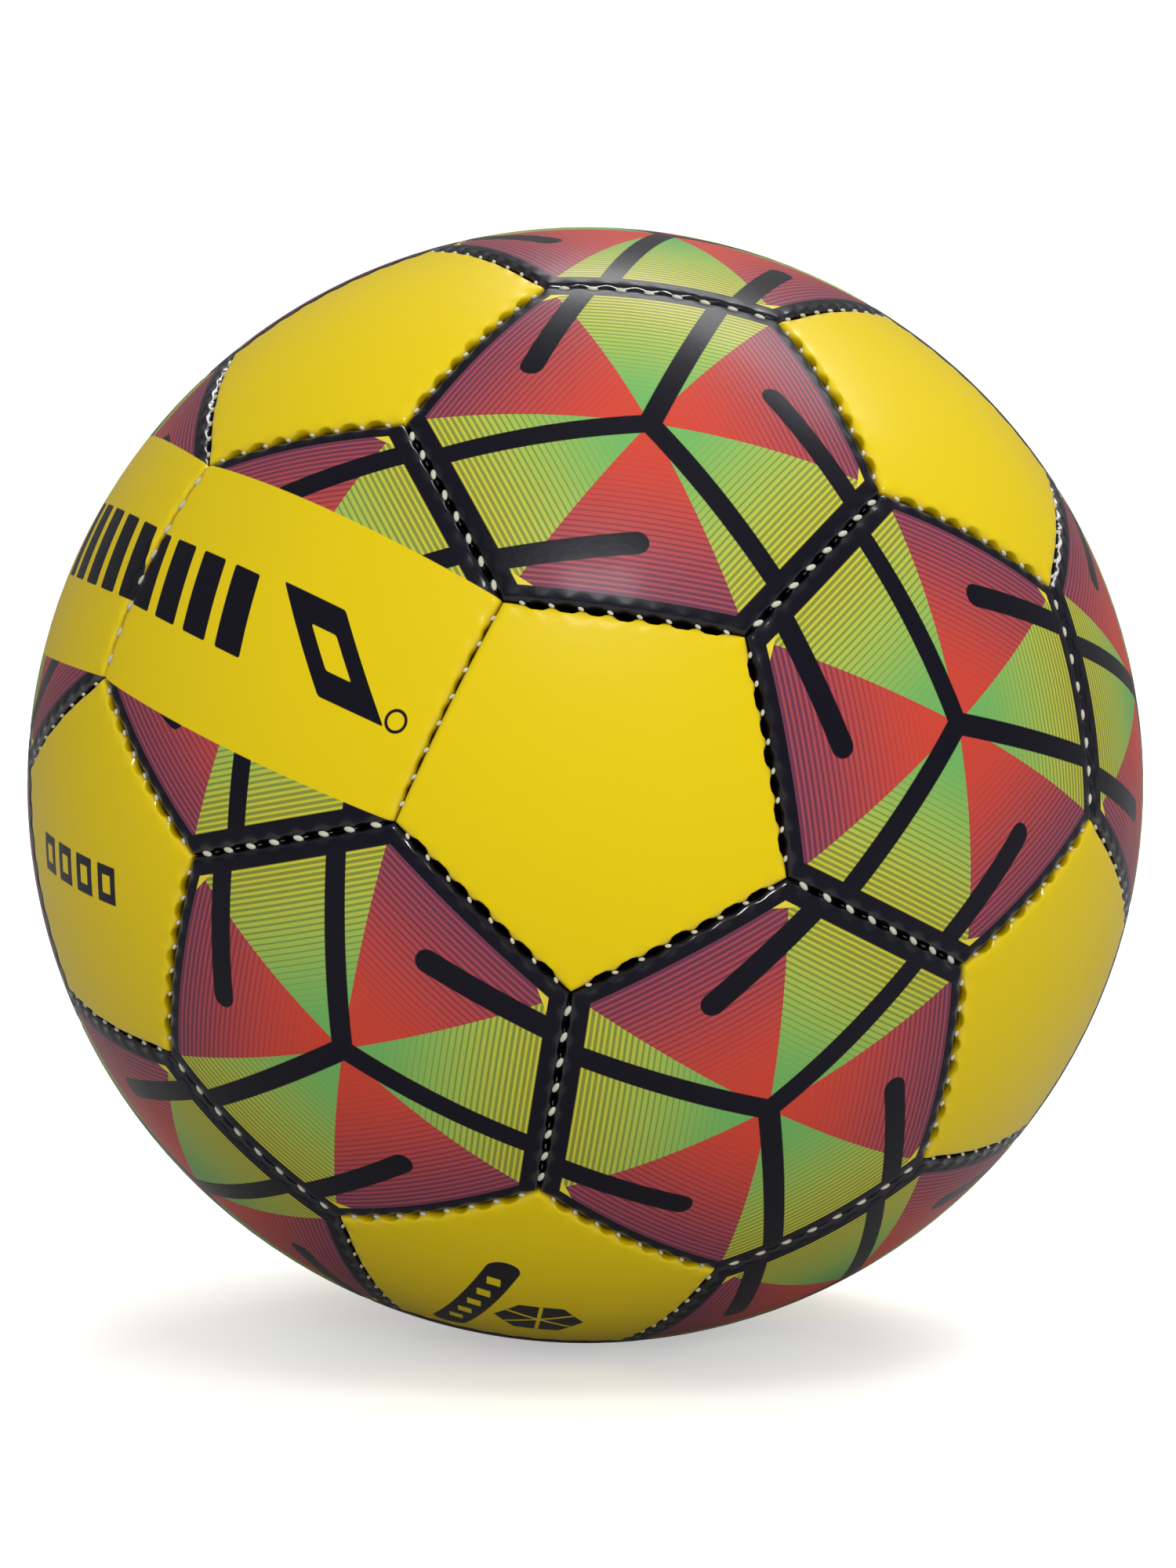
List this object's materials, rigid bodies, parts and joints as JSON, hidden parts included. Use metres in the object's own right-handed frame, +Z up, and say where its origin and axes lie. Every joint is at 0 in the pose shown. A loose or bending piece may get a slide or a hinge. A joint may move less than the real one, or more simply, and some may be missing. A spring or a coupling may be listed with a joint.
{
  "type": "soccer ball",
  "caption": "Inflated soccer ball of stitched pentagon and hexagon panels with turned-in seams, an inner bladder and a plug valve for a pump needle.",
  "frame": {"origin": "centre of the ball", "axes": "+Z up as the ball lies on the floor, -Y towards the front pentagon, +X to the right seen from the front"},
  "size_m": [0.22, 0.22, 0.22],
  "materials": {
    "pentagon_leather": "smooth printed synthetic leather with a low sheen",
    "hexagon_leather": "smooth printed synthetic leather with a low sheen",
    "backing_cloth": "woven, matte",
    "thread": "waxed twisted thread",
    "bladder_rubber": "matte",
    "patch_cloth": "rubberised cloth, matte",
    "valve_rubber": "matte",
    "core_rubber": "matte"
  },
  "bodies": {
    "ball": {"pentagon_cover_01": "pentagon_leather", "pentagon_cover_02": "pentagon_leather", "pentagon_cover_03": "pentagon_leather", "pentagon_cover_04": "pentagon_leather", "pentagon_cover_05": "pentagon_leather", "pentagon_cover_06": "pentagon_leather", "pentagon_cover_07": "pentagon_leather", "pentagon_cover_08": "pentagon_leather", "pentagon_cover_09": "pentagon_leather", "pentagon_cover_10": "pentagon_leather", "pentagon_cover_11": "pentagon_leather", "pentagon_cover_12": "pentagon_leather", "hexagon_cover_01": "hexagon_leather", "hexagon_cover_02": "hexagon_leather", "hexagon_cover_03": "hexagon_leather", "hexagon_cover_04": "hexagon_leather", "hexagon_cover_05": "hexagon_leather", "hexagon_cover_06": "hexagon_leather", "hexagon_cover_07": "hexagon_leather", "hexagon_cover_08": "hexagon_leather", "hexagon_cover_09": "hexagon_leather", "hexagon_cover_10": "hexagon_leather", "hexagon_cover_11": "hexagon_leather", "hexagon_cover_12": "hexagon_leather", "hexagon_cover_13": "hexagon_leather", "hexagon_cover_14": "hexagon_leather", "hexagon_cover_15": "hexagon_leather", "hexagon_cover_16": "hexagon_leather", "hexagon_cover_17": "hexagon_leather", "hexagon_cover_18": "hexagon_leather", "hexagon_cover_19": "hexagon_leather", "hexagon_cover_20": "hexagon_leather", "pentagon_backings": "backing_cloth", "hexagon_backings": "backing_cloth", "pentagon_seam_threads": "thread", "hexagon_seam_threads": "thread", "bladder": "bladder_rubber", "valve_patch": "patch_cloth", "valve_stem": "valve_rubber"},
    "valve_core": {"valve_core": "core_rubber"}
  },
  "joints": [
    {"name": "valve_core_pull", "type": "slide", "parent": "ball", "child": "valve_core", "axis": [-0.3042, 0.838, 0.453], "range_m": [0, 0.018]}
  ]
}
